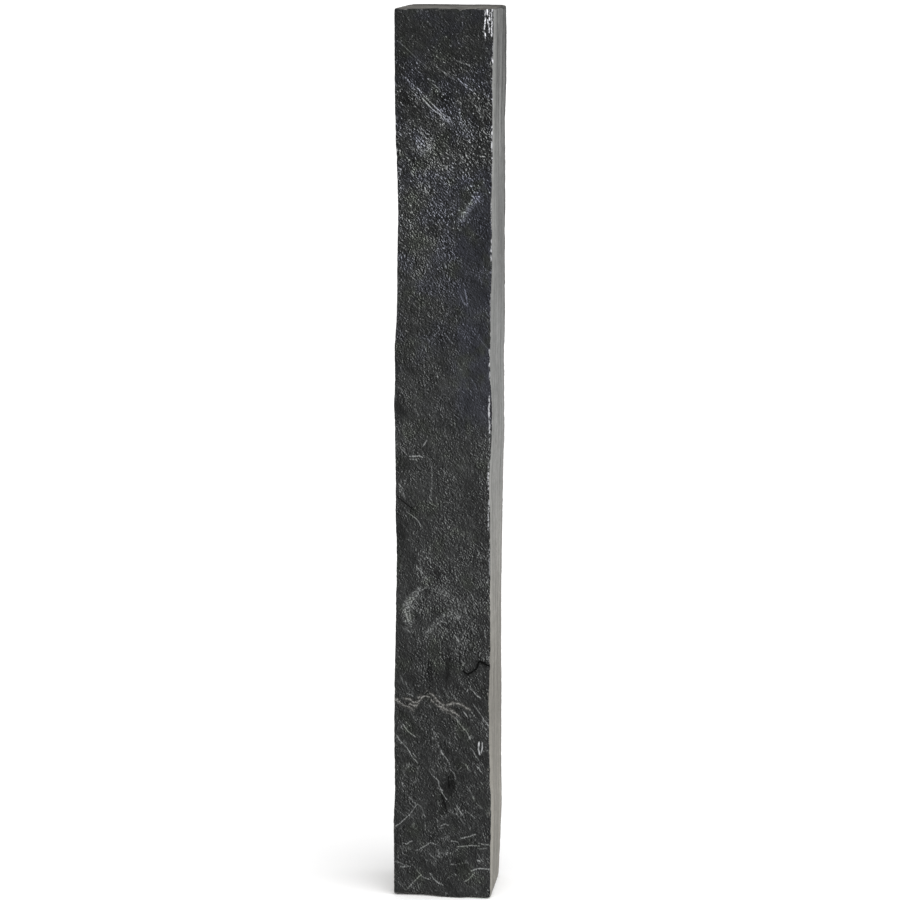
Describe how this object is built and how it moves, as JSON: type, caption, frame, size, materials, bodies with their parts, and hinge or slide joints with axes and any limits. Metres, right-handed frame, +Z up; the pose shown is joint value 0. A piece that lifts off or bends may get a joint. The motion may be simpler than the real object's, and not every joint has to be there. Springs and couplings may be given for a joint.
{
  "type": "slate palisade",
  "caption": "Upright post of split slate with riven faces and flat cut ends, for edging beds, paths and low retaining rows.",
  "frame": {"origin": "middle of the flat base that the post stands on", "axes": "+X across the width to the right, +Y from the riven front to the back, +Z up along the post"},
  "size_m": [0.114, 0.1068, 0.9999],
  "materials": {
    "slate": "dark blue-grey riven front and back with fine glinting grain, paler matte sides that show the beds as upright lines"
  },
  "bodies": {
    "root": {"slate_palisade": "slate"}
  },
  "joints": []
}
